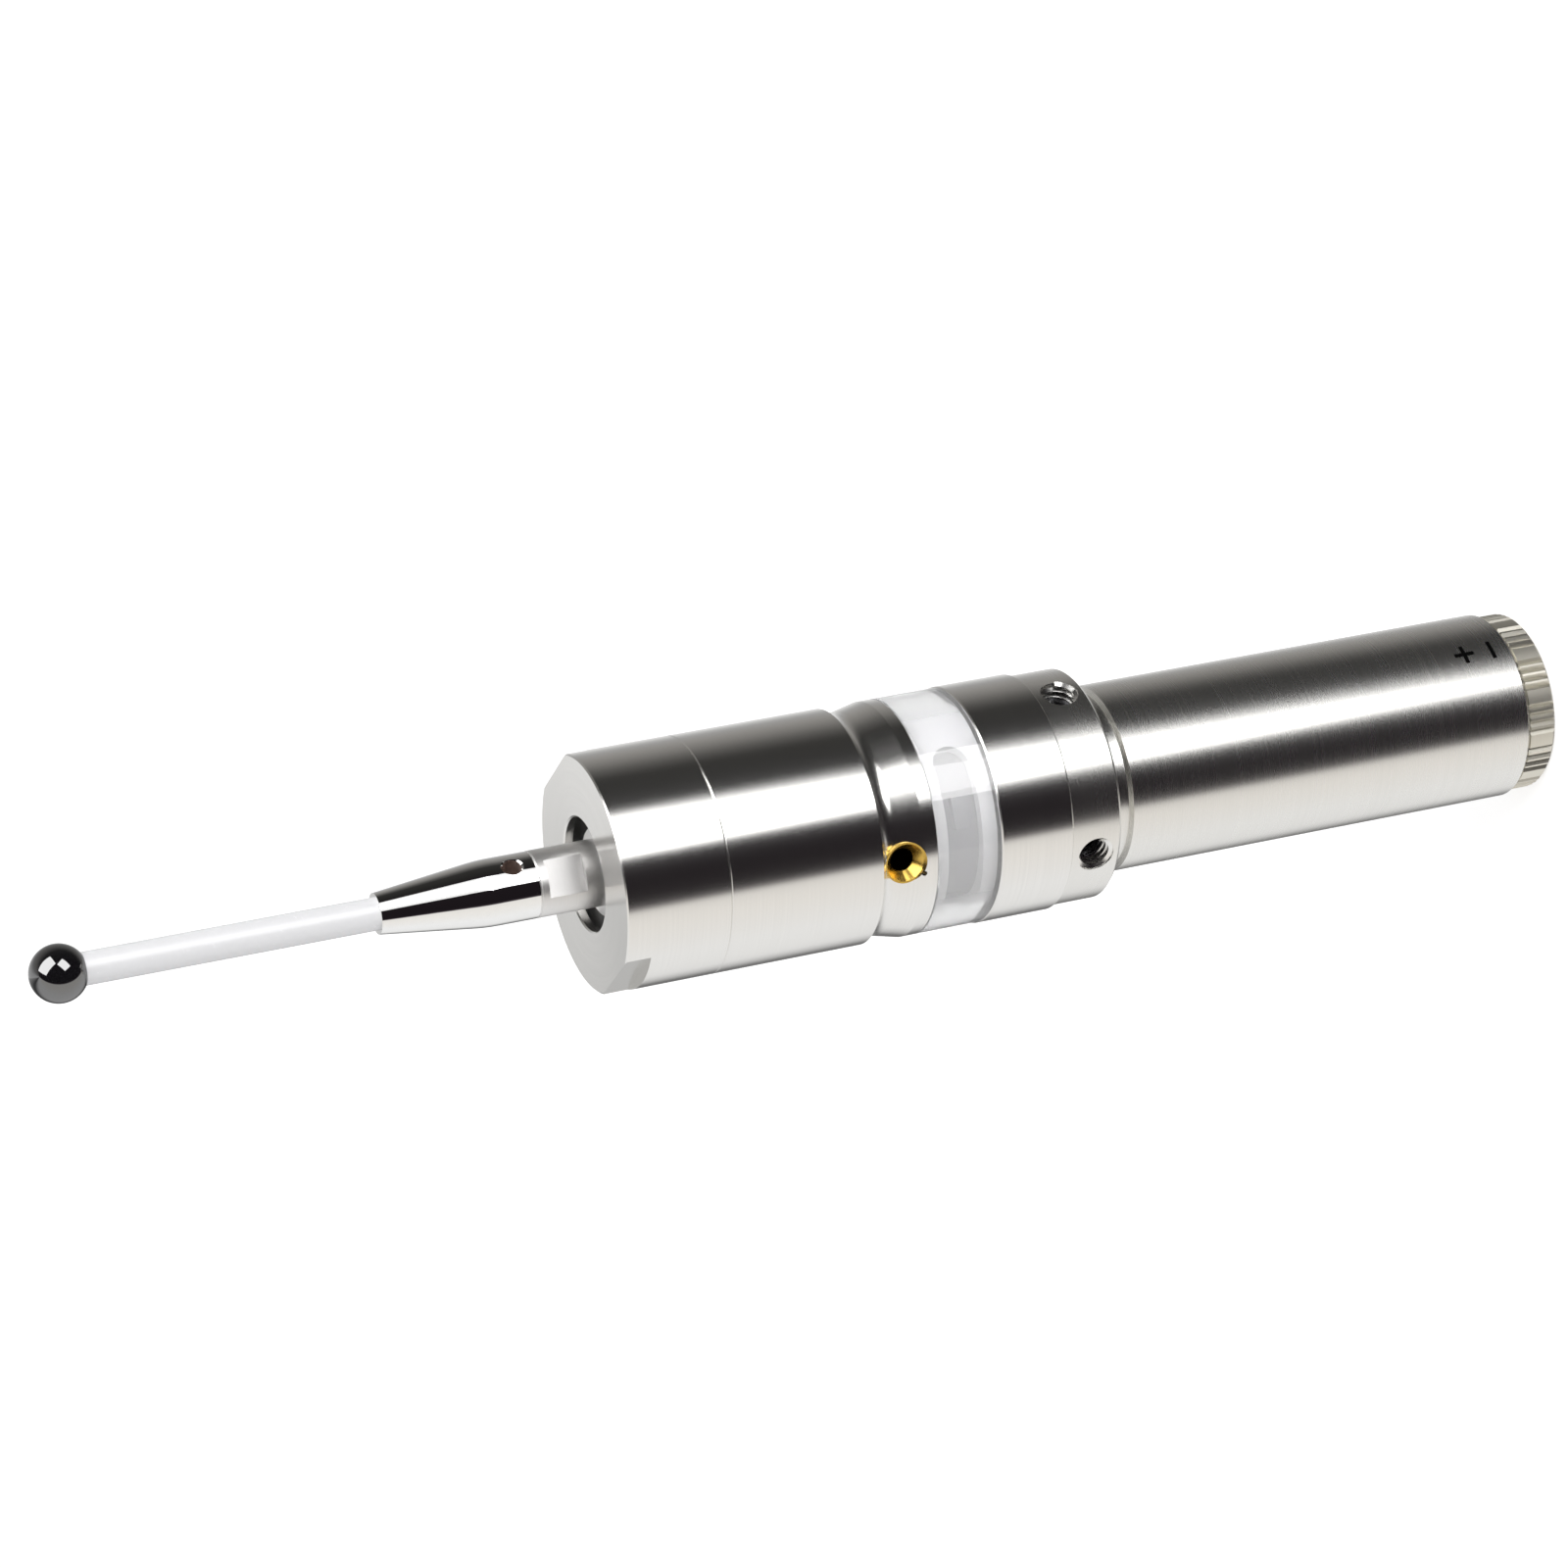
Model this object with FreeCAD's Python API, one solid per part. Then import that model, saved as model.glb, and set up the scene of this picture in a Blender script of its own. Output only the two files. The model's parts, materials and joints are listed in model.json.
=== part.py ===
import FreeCAD
import Part
import math
import os

# Electronic edge finder: a touch probe with a ball stylus, a kinematic tripod seat, a light ring that
# glows when the ball touches the work, and a straight shank that holds the battery.
# Millimetres. The axis is +Z, the battery cap's face is z = 0 and the stylus ball is at the top.
# Azimuths are degrees from +X, counter-clockwise seen from the ball.

# ---- driving sizes, from the cap up -------------------------------------------------------------
CAP_RIM_R = 9.57
CAP_RIM_LENGTH = 3.05
CAP_EDGE = 0.3
CAP_SPIGOT_LENGTH = 5.6
CAP_POCKET_R = 5.3
CAP_WALL = 2.0
KNURL_GROUPS = 12
KNURL_GROOVES = 4
KNURL_PITCH_DEG = 5.6
KNURL_WIDTH_DEG = 4.2
KNURL_DEPTH = 0.35
SEAL_THICKNESS = 0.9
SEAL_GROOVE_WIDTH = 1.0
SEAL_OFFSET = 0.6

SHANK_R = 10.0
SHANK_LENGTH = 47.7
SHANK_CHAMFER = 0.6
CAP_THREAD_R = 7.5
CAP_THREAD_LENGTH = 6.8
RELIEF_DEPTH = 0.6
RELIEF_LENGTH = 2.5
FLANGE_LENGTH = 5.7
FLANGE_EDGE = 0.3

REAR_HEAD_STEP = 0.1
REAR_HEAD_LENGTH = 8.1
FLANGE_STEP = 0.3
FLANGE_WALL = 5.7
REAR_SPIGOT_LENGTH = 4.35
REAR_BORE_R = 3.8
JOINT_CHAMFER = 0.12

BODY_R = 12.5
RING_LENGTH = 7.15
RING_EDGE = 0.12
RING_WALL = 1.85
CARRIER_WALL = 1.1
WINDOW_WIDTH = 3.9
WINDOW_SPAN_DEG = 150.0
WINDOW_AZIMUTH_DEG = 228.0
WINDOWS = 2
BOARD_WALL = 0.6
BOARD_GAP = 0.3
LED_WIDTH = 3.2
LED_HEIGHT = 1.6
LED_THICKNESS = 0.8
LEDS_PER_WINDOW = 2

WAIST_LENGTH = 6.15
WAIST_DEPTH = 0.65
WAIST_SHOULDER = 1.85
WAIST_LAND = 1.5
COVE_MIDDLE_RISE = 0.72
COVE_MIDDLE_REACH = 0.3
HOUSING_LENGTH = 16.72
HOUSING_SPIGOT_WALL = 3.0
HOUSING_SPIGOT_LENGTH = 12.0
CHAMBER_WALL = 2.9
ADJUSTER_SHOULDER = 1.6
ADJUSTER_LENGTH = 3.2
ADJUSTER_HOLE_R = 2.6
ADJUSTER_SLOT = 1.4
ADJUSTER_SLOT_DEPTH = 1.0

FRONT_RING_LENGTH = 11.33
FRONT_SPIGOT_STEP = 1.2
FRONT_SPIGOT_LENGTH = 5.0
FRONT_SPIGOT_WALL = 1.1
SEAT_SHOULDER = 1.9
FRONT_HOLE_R = 6.0
FRONT_LIP = 1.0
FRONT_FLATS_DEPTH = 1.0
FRONT_FLATS_LENGTH = 2.75
FRONT_FLATS_AZIMUTH_DEG = 198.0
FRONT_EDGE = 0.15

# ---- kinematic seat -------------------------------------------------------------------------------
SEAT_DEPTH = 12.0
SEAT_RADIUS = 7.0
ROD_R = 1.25
ROD_END_ROOM = 1.0
ROD_INNER_R = 1.7
ROD_CHAMFER = 0.2
SEAT_BALL_R = 1.25
SEAT_ANGLE_DEG = 45.0
SEAT_RING_LENGTH = 3.2
SEAT_RING_BORE_R = 5.2
SEAT_BALL_RISE = 0.1
TRIPOD_AZIMUTHS_DEG = (30.0, 150.0, 270.0)
HUB_R = 3.9
HUB_HALF_HEIGHT = 1.9
HUB_FLANGE_R = 5.6
HUB_FLANGE_THICKNESS = 1.2
HUB_POCKET_R = 1.9
HUB_POCKET_DEPTH = 1.6
MAIN_SPRING_R = 4.6
MAIN_SPRING_WIRE_R = 0.4
MAIN_SPRING_TURNS = 4
CONTACT_SPRING_R = 1.15
CONTACT_SPRING_WIRE_R = 0.18
CONTACT_SPRING_TURNS = 5

# ---- stylus ---------------------------------------------------------------------------------------
COLUMN_R = 3.2
MOUNT_SPIGOT_R = 1.5
MOUNT_SPIGOT_LENGTH = 1.4
GUARD_R = 4.65
GUARD_DEPTH = 1.5
GUARD_THICKNESS = 1.2
NECK_R = 3.5
NECK_LENGTH = 5.8
NECK_FLATS = 5.8
NECK_FLATS_START = 0.9
NECK_FLATS_LENGTH = 4.05
NECK_FLATS_AZIMUTH_DEG = 275.0
STUD_R = 1.5
STUD_LENGTH = 4.5
STUD_SLACK = 0.4
HOLDER_LENGTH = 16.65
HOLDER_CYLINDER_LENGTH = 5.4
HOLDER_TIP_R = 2.15
HOLDER_BLEND = 2.4
HOLDER_SOCKET_DEPTH = 6.8
TOMMY_R = 1.0
TOMMY_CHAMFER = 0.2
TOMMY_HEIGHT = 2.45
TOMMY_AZIMUTH_DEG = 309.0
STEM_R = 1.7
BALL_R = 3.0
BALL_REACH = 55.4
BALL_PIN_R = 1.1
BALL_PIN_LENGTH = 2.0
DIAPHRAGM_THICKNESS = 0.35
DIAPHRAGM_DEPTH = 3.9
DIAPHRAGM_FOLD = 0.8

# ---- jack, screws, battery and contacts -----------------------------------------------------------
JACK_AZIMUTH_DEG = 246.5
JACK_DEPTH = 2.6
JACK_R = 2.25
JACK_MOUTH_R = 2.05
JACK_BORE_R = 1.25
JACK_MOUTH_DEPTH = 1.0
JACK_INSULATOR_LENGTH = 1.2
JACK_PIN_R = 0.45
JACK_KEY_R = 0.28
JACK_KEY_TURN_DEG = 6.5
JACK_KEY_DROP = 1.95
JACK_KEY_DEPTH = 0.8
JACK_PROUD = 0.2

SCREW_R = 1.95
SCREW_LENGTH = 2.95
SCREW_SOCKET_FLATS = 2.0
SCREW_SOCKET_DEPTH = 1.5
SCREW_SOCKET_SIDES = 6
SCREW_POINT_CHAMFER = 0.5
SCREWS = 4
SCREW_AZIMUTH_DEG = 51.0

BATTERY_R = 5.15
BATTERY_LENGTH = 28.5
BATTERY_NUB_R = 2.0
BATTERY_NUB_LENGTH = 1.0
BATTERY_START = 10.4
SLEEVE_WALL = 1.2
CAP_SPRING_R = 4.2
CAP_SPRING_TOP_R = 2.6
CAP_SPRING_WIRE_R = 0.35
CAP_SPRING_TURNS = 3
PLUG_LENGTH = 4.0
CONTACT_HEAD_R = 2.5
CONTACT_HEAD_LENGTH = 1.2
CONTACT_STEM_R = 0.9
PIN_R = 0.7
PIN_COLLAR_R = 1.35
PIN_COLLAR_LENGTH = 0.6
PIN_NOSE = 0.4
PIN_RISE = 1.2
BLOCK_LENGTH = 5.5

# ---- clearances -----------------------------------------------------------------------------------
RUNNING = 0.05
SEAT_GAP = 0.05
TOUCH = 0.02
END_GAP = 0.3
BATTERY_CLEARANCE = 0.2
OVERCUT = 1.0

# ---- places worked out from the sizes ---------------------------------------------------------------
Z_CAP = CAP_RIM_LENGTH
Z_SHANK = Z_CAP + SHANK_LENGTH
Z_RELIEF = Z_SHANK + RELIEF_LENGTH
Z_FLANGE = Z_RELIEF + FLANGE_LENGTH
Z_REAR = Z_FLANGE + REAR_HEAD_LENGTH
Z_RING = Z_REAR + RING_LENGTH
Z_WAIST = Z_RING + WAIST_LENGTH
Z_SEAM = Z_WAIST + HOUSING_LENGTH
Z_FRONT = Z_SEAM + FRONT_RING_LENGTH
Z_NECK = Z_FRONT + NECK_LENGTH
Z_HOLDER = Z_NECK + HOLDER_LENGTH
Z_BALL = Z_FRONT + BALL_REACH
Z_GUARD = Z_FRONT - GUARD_DEPTH
Z_ROD = Z_FRONT - SEAT_DEPTH
Z_HUB_TOP = Z_ROD + HUB_HALF_HEIGHT
Z_HUB = Z_ROD - HUB_HALF_HEIGHT - HUB_FLANGE_THICKNESS
Z_ADJUSTER = Z_WAIST + END_GAP
Z_ADJUSTER_TOP = Z_ADJUSTER + ADJUSTER_LENGTH
Z_PIN_TOP = Z_ADJUSTER_TOP + PIN_RISE
Z_HOUSING = Z_RING - HOUSING_SPIGOT_LENGTH
Z_SCREW = Z_RELIEF + FLANGE_LENGTH / 2
Z_JACK = Z_WAIST - JACK_DEPTH
Z_BATTERY_TOP = BATTERY_START + BATTERY_LENGTH
Z_PLUG_TOP = Z_BATTERY_TOP + PLUG_LENGTH
SEAT_REACH = ROD_R + SEAT_BALL_R + SEAT_GAP
SEAT_RISE = SEAT_REACH * math.sin(math.radians(SEAT_ANGLE_DEG))
SEAT_OFFSET = SEAT_REACH * math.cos(math.radians(SEAT_ANGLE_DEG))
Z_SEAT_BALL = Z_ROD + SEAT_RISE
Z_SEAT_RING = Z_SEAT_BALL + SEAT_BALL_RISE
SHANK_BORE_R = BATTERY_R + BATTERY_CLEARANCE + SLEEVE_WALL
RELIEF_R = SHANK_R - RELIEF_DEPTH
REAR_HEAD_R = BODY_R + REAR_HEAD_STEP
FLANGE_R = REAR_HEAD_R - FLANGE_STEP
REAR_SPIGOT_R = FLANGE_R - FLANGE_WALL
RING_BORE_R = BODY_R - RING_WALL
CARRIER_R = RING_BORE_R - RUNNING
CARRIER_BORE_R = CARRIER_R - CARRIER_WALL
BOARD_R = CARRIER_BORE_R - BOARD_GAP
HOUSING_SPIGOT_R = BOARD_R - BOARD_WALL
HOUSING_SPIGOT_BORE_R = HOUSING_SPIGOT_R - HOUSING_SPIGOT_WALL
SOCKET_R = HOUSING_SPIGOT_R + RUNNING
CHAMBER_R = BODY_R - CHAMBER_WALL
ADJUSTER_R = CHAMBER_R - ADJUSTER_SHOULDER
FRONT_SPIGOT_R = BODY_R - FRONT_SPIGOT_STEP
FRONT_BORE_R = FRONT_SPIGOT_R - FRONT_SPIGOT_WALL
FRONT_CAVITY_R = FRONT_BORE_R - SEAT_SHOULDER
FRONT_FLATS = 2 * (BODY_R - FRONT_FLATS_DEPTH)
ROD_OUTER_R = FRONT_BORE_R - ROD_END_ROOM
JACK_RIM_REACH = BODY_R - WAIST_DEPTH + JACK_PROUD
JACK_CONTACT_REACH = HOUSING_SPIGOT_BORE_R + SEAT_GAP
JACK_SHOULDER_REACH = JACK_CONTACT_REACH + JACK_INSULATOR_LENGTH
AXIS = FreeCAD.Vector(0, 0, 1)
ORIGIN = FreeCAD.Vector(0, 0, 0)


def at(radius, azimuth_deg, z):
    angle = math.radians(azimuth_deg)
    return FreeCAD.Vector(radius * math.cos(angle), radius * math.sin(angle), z)


def radial(azimuth_deg):
    return at(1.0, azimuth_deg, 0.0)


def turned(points):
    """A solid of revolution about the axis from (radius, z) points; a point may be an arc's (mid, end)."""
    edges = []
    start = FreeCAD.Vector(points[0][0], 0, points[0][1])
    last = start
    for point in points[1:] + points[:1]:
        if isinstance(point[0], tuple):
            middle = FreeCAD.Vector(point[0][0], 0, point[0][1])
            end = FreeCAD.Vector(point[1][0], 0, point[1][1])
            edges.append(Part.Arc(last, middle, end).toShape())
        else:
            end = FreeCAD.Vector(point[0], 0, point[1])
            if end.distanceToPoint(last) < 1e-7:
                continue
            edges.append(Part.LineSegment(last, end).toShape())
        last = end
    face = Part.Face(Part.Wire(edges))
    return face.revolve(ORIGIN, AXIS, 360)


def cylinder(radius, low, high):
    return Part.makeCylinder(radius, high - low, FreeCAD.Vector(0, 0, low))


def tube(outer, inner, low, high):
    return cylinder(outer, low, high).cut(cylinder(inner, low, high))


def radial_cylinder(radius, azimuth_deg, z, inner, outer):
    return Part.makeCylinder(radius, outer - inner, at(inner, azimuth_deg, z), radial(azimuth_deg))


def radial_cone(inner_r, outer_r, azimuth_deg, z, inner, outer):
    return Part.makeCone(inner_r, outer_r, outer - inner, at(inner, azimuth_deg, z), radial(azimuth_deg))


def flats_cutter(across, azimuth_deg, reach, low, high):
    """Two slabs that leave parallel flats of the given width across."""
    slabs = []
    for side in (-1, 1):
        slab = Part.makeBox(reach, 2 * reach, high - low, FreeCAD.Vector(across / 2, -reach, low))
        slab.rotate(ORIGIN, AXIS, azimuth_deg + (180 if side < 0 else 0))
        slabs.append(slab)
    return slabs[0].fuse(slabs[1])


def coil(low_r, high_r, wire_r, turns, low, high):
    """A coil spring of square wire that lies between the two heights."""
    rise = high - low - 2 * wire_r
    taper = math.degrees(math.atan2(high_r - low_r, rise))
    helix = Part.makeLongHelix(rise / turns, rise, low_r, taper)
    section = Part.makePolygon([
        FreeCAD.Vector(low_r + wire_r * across, 0, wire_r * up)
        for across, up in ((-1, -1), (1, -1), (1, 1), (-1, 1), (-1, -1))
    ])
    spring = Part.Wire(helix.Edges).makePipeShell([section], True, True)
    spring.translate(FreeCAD.Vector(0, 0, low + wire_r))
    return spring


# ---- battery cap and shank ------------------------------------------------------------------------
def knurl_outline():
    """The cap rim's outline: groups of vee grooves between plain lands."""
    group = 360.0 / KNURL_GROUPS
    grooved = (KNURL_GROOVES - 1) * KNURL_PITCH_DEG + KNURL_WIDTH_DEG
    land = group - grooved
    edges = []
    for number in range(KNURL_GROUPS):
        first = number * group + land / 2
        corners = []
        for groove in range(KNURL_GROOVES):
            left = first + groove * KNURL_PITCH_DEG
            corners.append(at(CAP_RIM_R, left, 0))
            corners.append(at(CAP_RIM_R - KNURL_DEPTH, left + KNURL_WIDTH_DEG / 2, 0))
            corners.append(at(CAP_RIM_R, left + KNURL_WIDTH_DEG, 0))
        for start, end in zip(corners, corners[1:]):
            edges.append(Part.LineSegment(start, end).toShape())
        last = first + grooved
        land_arc = Part.Arc(corners[-1], at(CAP_RIM_R, last + land / 2, 0), at(CAP_RIM_R, last + land, 0))
        edges.append(land_arc.toShape())
    return Part.Wire(edges)


def battery_cap():
    rim = Part.Face(knurl_outline()).extrude(FreeCAD.Vector(0, 0, CAP_RIM_LENGTH))
    blank = turned([
        (0, 0),
        (CAP_RIM_R - CAP_EDGE, 0),
        (CAP_RIM_R, CAP_EDGE),
        (CAP_RIM_R, CAP_RIM_LENGTH),
        (0, CAP_RIM_LENGTH),
    ])
    spigot = cylinder(CAP_THREAD_R - RUNNING, CAP_RIM_LENGTH, CAP_RIM_LENGTH + CAP_SPIGOT_LENGTH)
    groove_low = CAP_RIM_LENGTH + SEAL_OFFSET
    groove_top = groove_low + SEAL_GROOVE_WIDTH
    groove = tube(CAP_THREAD_R + OVERCUT, CAP_THREAD_R - SEAL_THICKNESS, groove_low, groove_top)
    pocket = cylinder(CAP_POCKET_R, CAP_WALL, CAP_RIM_LENGTH + CAP_SPIGOT_LENGTH)
    return rim.common(blank).fuse(spigot).cut(groove).cut(pocket).removeSplitter()


def cap_seal():
    low = CAP_RIM_LENGTH + SEAL_OFFSET
    return tube(CAP_THREAD_R - RUNNING, CAP_THREAD_R - SEAL_THICKNESS, low, low + SEAL_GROOVE_WIDTH)


def cap_spring():
    top = BATTERY_START - TOUCH
    return coil(CAP_SPRING_R, CAP_SPRING_TOP_R, CAP_SPRING_WIRE_R, CAP_SPRING_TURNS, CAP_WALL, top)


def shank():
    outline = turned([
        (0, Z_CAP),
        (SHANK_R - SHANK_CHAMFER, Z_CAP),
        (SHANK_R, Z_CAP + SHANK_CHAMFER),
        (SHANK_R, Z_SHANK),
        (RELIEF_R, Z_SHANK + (SHANK_R - RELIEF_R) / 2),
        (RELIEF_R, Z_RELIEF),
        (FLANGE_R - FLANGE_EDGE, Z_RELIEF),
        (FLANGE_R, Z_RELIEF + FLANGE_EDGE),
        (FLANGE_R, Z_FLANGE - JOINT_CHAMFER),
        (FLANGE_R - JOINT_CHAMFER, Z_FLANGE),
        (0, Z_FLANGE),
    ])
    shape = outline.cut(cylinder(SHANK_BORE_R, Z_CAP, Z_PLUG_TOP))
    shape = shape.cut(cylinder(CAP_THREAD_R, Z_CAP, Z_CAP + CAP_THREAD_LENGTH))
    shape = shape.cut(cylinder(REAR_BORE_R, Z_PLUG_TOP, Z_FLANGE))
    socket_low = Z_FLANGE - REAR_SPIGOT_LENGTH - RUNNING
    shape = shape.cut(cylinder(REAR_SPIGOT_R + RUNNING, socket_low, Z_FLANGE))
    inner = REAR_SPIGOT_R - OVERCUT
    outer = FLANGE_R + OVERCUT
    for number in range(SCREWS):
        shape = shape.cut(radial_cylinder(SCREW_R + RUNNING, screw_azimuth(number), Z_SCREW, inner, outer))
    return shape


def screw_azimuth(number):
    return SCREW_AZIMUTH_DEG + number * 360 / SCREWS


def adjusting_screw(number):
    azimuth = screw_azimuth(number)
    inner = REAR_SPIGOT_R + RUNNING
    outer = inner + SCREW_LENGTH
    body = radial_cylinder(SCREW_R, azimuth, Z_SCREW, inner + SCREW_POINT_CHAMFER, outer)
    point = radial_cone(SCREW_R - SCREW_POINT_CHAMFER, SCREW_R, azimuth, Z_SCREW, inner,
                        inner + SCREW_POINT_CHAMFER)
    step = 360 / SCREW_SOCKET_SIDES
    corner_r = SCREW_SOCKET_FLATS / 2 / math.cos(math.radians(step / 2))
    socket = Part.makePolygon([
        at(corner_r, step * corner, 0) for corner in range(SCREW_SOCKET_SIDES + 1)
    ])
    prism = Part.Face(socket).extrude(FreeCAD.Vector(0, 0, SCREW_SOCKET_DEPTH))
    turn = FreeCAD.Rotation(AXIS, radial(azimuth))
    prism.Placement = FreeCAD.Placement(at(outer - SCREW_SOCKET_DEPTH, azimuth, Z_SCREW), turn)
    return body.fuse(point).cut(prism).removeSplitter()


# ---- battery and contacts ---------------------------------------------------------------------------
def battery_sleeve():
    inner = BATTERY_R + BATTERY_CLEARANCE
    low = Z_CAP + CAP_THREAD_LENGTH
    return tube(inner + SLEEVE_WALL, inner, low, Z_BATTERY_TOP)


def battery_cell():
    can_top = Z_BATTERY_TOP - BATTERY_NUB_LENGTH
    return cylinder(BATTERY_R, BATTERY_START, can_top).fuse(cylinder(BATTERY_NUB_R, can_top, Z_BATTERY_TOP))


def contact_plug():
    """The insulator above the cell: a head in the battery bore and a stem through the shank's neck."""
    head = cylinder(SHANK_BORE_R, Z_BATTERY_TOP, Z_PLUG_TOP)
    stem = cylinder(REAR_BORE_R, Z_PLUG_TOP, Z_FLANGE - REAR_SPIGOT_LENGTH - RUNNING)
    pocket = cylinder(CONTACT_HEAD_R, Z_BATTERY_TOP, Z_BATTERY_TOP + CONTACT_HEAD_LENGTH)
    passage = cylinder(CONTACT_STEM_R, Z_BATTERY_TOP, Z_FLANGE)
    return head.fuse(stem).cut(pocket).cut(passage).removeSplitter()


def plus_contact():
    head = cylinder(CONTACT_HEAD_R, Z_BATTERY_TOP, Z_BATTERY_TOP + CONTACT_HEAD_LENGTH)
    stem = cylinder(CONTACT_STEM_R, Z_BATTERY_TOP, Z_HOUSING)
    return head.fuse(stem).removeSplitter()


def contact_block():
    """The insulator in the housing's lower bore that carries the centre pin."""
    low = Z_WAIST - BLOCK_LENGTH
    return tube(HOUSING_SPIGOT_BORE_R, PIN_R, low, Z_WAIST)


def contact_pin():
    pin = cylinder(PIN_R, Z_HOUSING, Z_PIN_TOP)
    collar_top = Z_PIN_TOP - PIN_NOSE
    return pin.fuse(cylinder(PIN_COLLAR_R, collar_top - PIN_COLLAR_LENGTH, collar_top)).removeSplitter()


# ---- rear head and light ring -----------------------------------------------------------------------
def rear_head():
    outline = turned([
        (0, Z_FLANGE - REAR_SPIGOT_LENGTH),
        (REAR_SPIGOT_R - FLANGE_EDGE, Z_FLANGE - REAR_SPIGOT_LENGTH),
        (REAR_SPIGOT_R, Z_FLANGE - REAR_SPIGOT_LENGTH + FLANGE_EDGE),
        (REAR_SPIGOT_R, Z_FLANGE),
        (REAR_HEAD_R - JOINT_CHAMFER, Z_FLANGE),
        (REAR_HEAD_R, Z_FLANGE + JOINT_CHAMFER),
        (REAR_HEAD_R, Z_REAR - JOINT_CHAMFER),
        (REAR_HEAD_R - JOINT_CHAMFER, Z_REAR),
        (0, Z_REAR),
    ])
    socket = cylinder(SOCKET_R, Z_HOUSING - RUNNING, Z_REAR)
    bore = cylinder(REAR_BORE_R, Z_FLANGE - REAR_SPIGOT_LENGTH, Z_REAR)
    return outline.cut(socket).cut(bore)


def light_ring():
    return turned([
        (RING_BORE_R, Z_REAR),
        (BODY_R - RING_EDGE, Z_REAR),
        (BODY_R, Z_REAR + RING_EDGE),
        (BODY_R, Z_RING - RING_EDGE),
        (BODY_R - RING_EDGE, Z_RING),
        (RING_BORE_R, Z_RING),
    ])


def window_cutter(azimuth_deg):
    """An obround slot round the sleeve: a swept band with a round end at each side."""
    middle = (Z_REAR + Z_RING) / 2
    half = WINDOW_WIDTH / 2
    end_angle = math.degrees(half / CARRIER_R)
    straight = WINDOW_SPAN_DEG - 2 * end_angle
    inner = CARRIER_BORE_R - CARRIER_WALL
    outer = CARRIER_R + CARRIER_WALL
    sector = Part.makeCylinder(outer, WINDOW_WIDTH, FreeCAD.Vector(0, 0, middle - half), AXIS, straight)
    sector.rotate(ORIGIN, AXIS, azimuth_deg - straight / 2)
    cutter = sector.cut(cylinder(inner, middle - half, middle + half))
    for side in (-1, 1):
        azimuth = azimuth_deg + side * straight / 2
        cutter = cutter.fuse(radial_cylinder(half, azimuth, middle, inner, outer))
    return cutter


def led_carrier():
    shape = tube(CARRIER_R, CARRIER_BORE_R, Z_REAR, Z_RING)
    for number in range(WINDOWS):
        shape = shape.cut(window_cutter(WINDOW_AZIMUTH_DEG + number * 360 / WINDOWS))
    return shape


def led_board():
    return tube(BOARD_R, HOUSING_SPIGOT_R, Z_REAR + END_GAP, Z_RING - END_GAP)


def led(number):
    window, place = divmod(number, LEDS_PER_WINDOW)
    pitch = WINDOW_SPAN_DEG / LEDS_PER_WINDOW
    azimuth = WINDOW_AZIMUTH_DEG + window * 360 / WINDOWS + (place - (LEDS_PER_WINDOW - 1) / 2) * pitch
    middle = (Z_REAR + Z_RING) / 2
    depth = LED_THICKNESS + BOARD_WALL
    corner = FreeCAD.Vector(HOUSING_SPIGOT_R, -LED_WIDTH / 2, middle - LED_HEIGHT / 2)
    block = Part.makeBox(depth, LED_WIDTH, LED_HEIGHT, corner)
    block.rotate(ORIGIN, AXIS, azimuth)
    return block.cut(cylinder(BOARD_R, Z_REAR, Z_RING))


# ---- housing and jack -------------------------------------------------------------------------------
def waist_points():
    """The waist: a land, a long ramp down to the waist floor and a short cove up to the shoulder."""
    low = BODY_R - WAIST_DEPTH
    floor = Z_WAIST - WAIST_SHOULDER
    cove_middle = (low + WAIST_DEPTH * COVE_MIDDLE_REACH, floor + WAIST_SHOULDER * COVE_MIDDLE_RISE)
    return [
        (BODY_R, Z_RING + JOINT_CHAMFER),
        (BODY_R, Z_RING + WAIST_LAND),
        (low, floor),
        (cove_middle, (BODY_R, Z_WAIST)),
    ]


def housing():
    outline = turned([
        (0, Z_HOUSING),
        (HOUSING_SPIGOT_R, Z_HOUSING),
        (HOUSING_SPIGOT_R, Z_RING),
        (BODY_R - JOINT_CHAMFER, Z_RING),
    ] + waist_points() + [
        (BODY_R, Z_SEAM - JOINT_CHAMFER),
        (BODY_R - JOINT_CHAMFER, Z_SEAM),
        (0, Z_SEAM),
    ])
    spigot_low = Z_SEAM - FRONT_SPIGOT_LENGTH - RUNNING
    shape = outline.cut(cylinder(HOUSING_SPIGOT_BORE_R, Z_HOUSING, Z_SEAM))
    shape = shape.cut(cylinder(ADJUSTER_R, Z_ADJUSTER, Z_SEAM))
    shape = shape.cut(cylinder(CHAMBER_R, Z_ADJUSTER_TOP + END_GAP, Z_SEAM))
    shape = shape.cut(cylinder(FRONT_SPIGOT_R + RUNNING, spigot_low, Z_SEAM))
    hole = jack_cylinder(JACK_R, 0, BODY_R + OVERCUT)
    key = radial_cylinder(JACK_KEY_R, JACK_AZIMUTH_DEG - JACK_KEY_TURN_DEG, Z_JACK - JACK_KEY_DROP,
                          JACK_RIM_REACH - JACK_KEY_DEPTH, BODY_R + OVERCUT)
    return shape.cut(hole).cut(key)


def jack_cylinder(radius, inner, outer):
    return radial_cylinder(radius, JACK_AZIMUTH_DEG, Z_JACK, inner, outer)


def jack_bush():
    rim = JACK_RIM_REACH
    shape = jack_cylinder(JACK_R, JACK_SHOULDER_REACH, rim)
    shape = shape.cut(jack_cylinder(JACK_BORE_R, JACK_SHOULDER_REACH, rim))
    mouth = radial_cone(JACK_BORE_R, JACK_MOUTH_R, JACK_AZIMUTH_DEG, Z_JACK, rim - JACK_MOUTH_DEPTH, rim)
    return shape.cut(mouth)


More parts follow.
